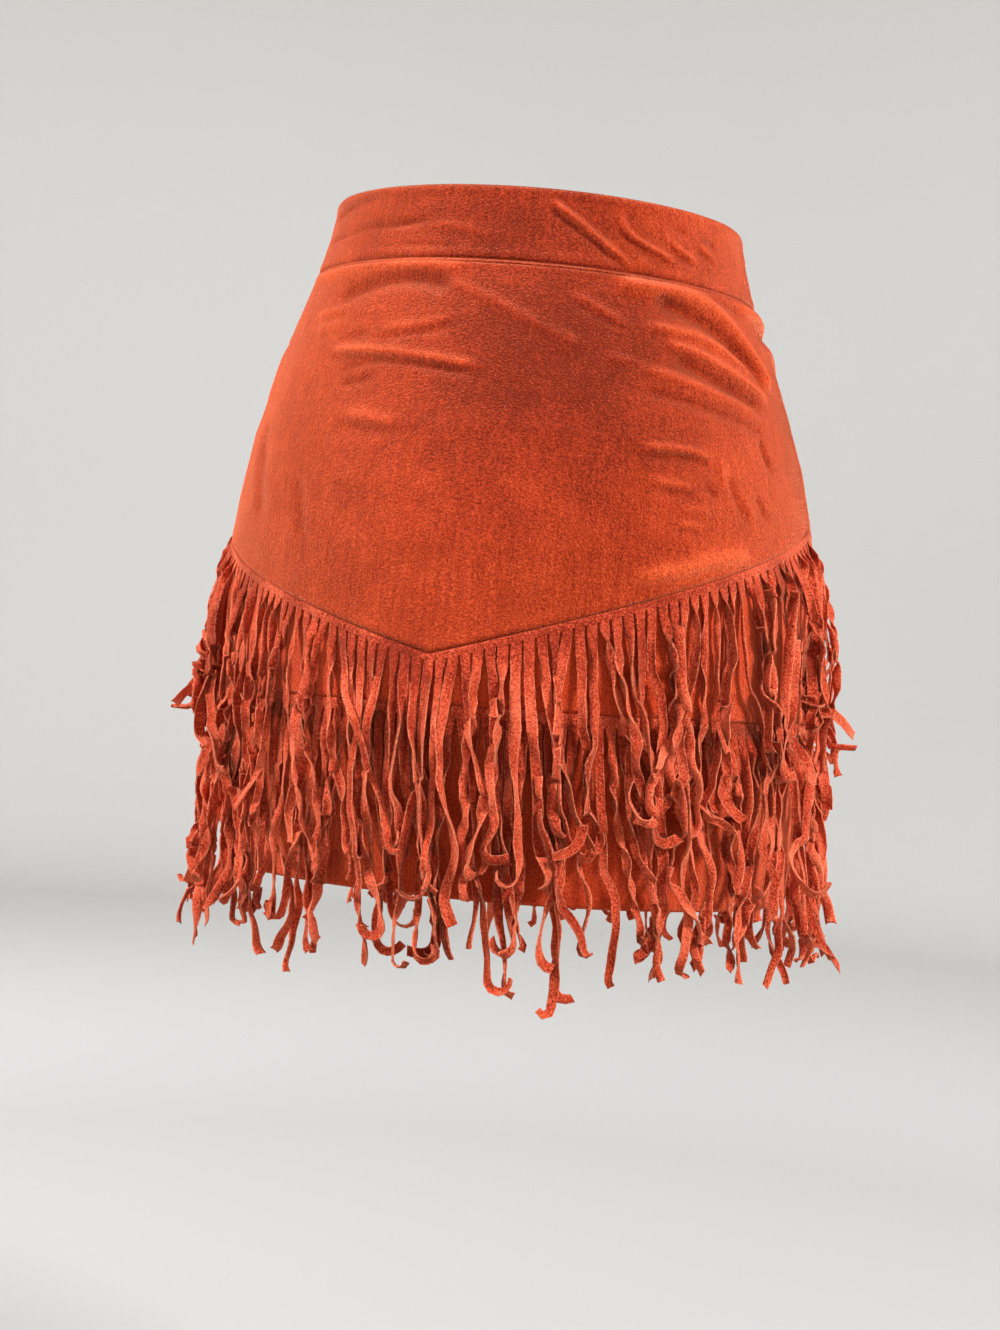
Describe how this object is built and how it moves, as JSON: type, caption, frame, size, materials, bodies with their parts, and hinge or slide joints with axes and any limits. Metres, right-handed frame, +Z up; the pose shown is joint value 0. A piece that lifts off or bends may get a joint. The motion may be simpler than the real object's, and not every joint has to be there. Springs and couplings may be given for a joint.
{
  "type": "fringed suede mini skirt",
  "caption": "Short fitted skirt in worn shape: waistband, yoke with a V seam, two tiers of cut suede fringe over plain panels, back zip.",
  "frame": {"origin": "centre of the waist, halfway up the waistband, where the wearer holds the skirt", "axes": "+Z up, -Y towards the front, +X towards the wearer's left side"},
  "size_m": [0.3597, 0.3061, 0.4194],
  "materials": {
    "suede_smooth": "rust suede with a short mottled nap",
    "suede_under": "the same suede, in the shade of the fringe",
    "suede_fringe": "cut suede strands with paler fuzzy edges",
    "zip_tape": "woven tape",
    "zip_metal": "worn brass"
  },
  "bodies": {
    "skirt": {"waistband_front": "suede_smooth", "waistband_back_left": "suede_smooth", "waistband_back_right": "suede_smooth", "yoke_front": "suede_smooth", "yoke_back_left": "suede_smooth", "yoke_back_right": "suede_smooth", "middle_front": "suede_under", "middle_back": "suede_under", "hem_front": "suede_under", "hem_back": "suede_under", "fringe_upper_front": "suede_fringe", "fringe_upper_back": "suede_fringe", "fringe_lower_front": "suede_fringe", "fringe_lower_back": "suede_fringe", "zip_tape": "zip_tape", "zip_coil": "zip_metal", "zip_slider": "zip_metal"},
    "pull_tab": {"zip_pull": "zip_metal"}
  },
  "joints": [
    {"name": "pull_tab_hinge", "type": "hinge", "parent": "skirt", "child": "pull_tab", "pos_m": [-0.0001, 0.09767, 0.00452], "axis": [1, 0, 0], "range_deg": [0, 165]}
  ]
}
